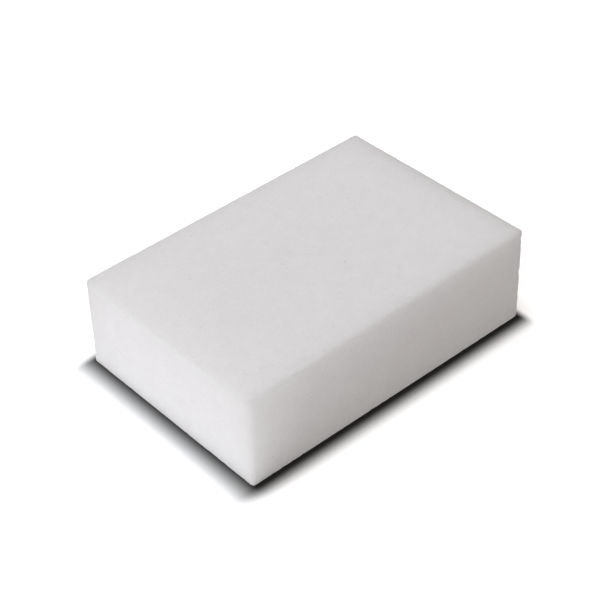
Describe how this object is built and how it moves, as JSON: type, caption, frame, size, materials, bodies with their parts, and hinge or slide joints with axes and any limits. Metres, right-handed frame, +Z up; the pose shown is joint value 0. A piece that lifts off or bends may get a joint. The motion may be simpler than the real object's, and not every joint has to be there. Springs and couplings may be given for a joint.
{
  "type": "applicator sponge",
  "caption": "Hand-sized rectangular block of fine white open-cell foam with slightly rolled edges, held to spread or wipe off a liquid.",
  "frame": {"origin": "centre of the base", "axes": "+X along the length towards the thicker end, +Y across the width away from the leaning side, +Z up through the thickness"},
  "size_m": [0.101, 0.068, 0.0308],
  "materials": {
    "foam": "dull white melamine foam, open cells of about 0.2 mm, slightly translucent"
  },
  "bodies": {
    "root": {"sponge_block": "foam"}
  },
  "joints": []
}
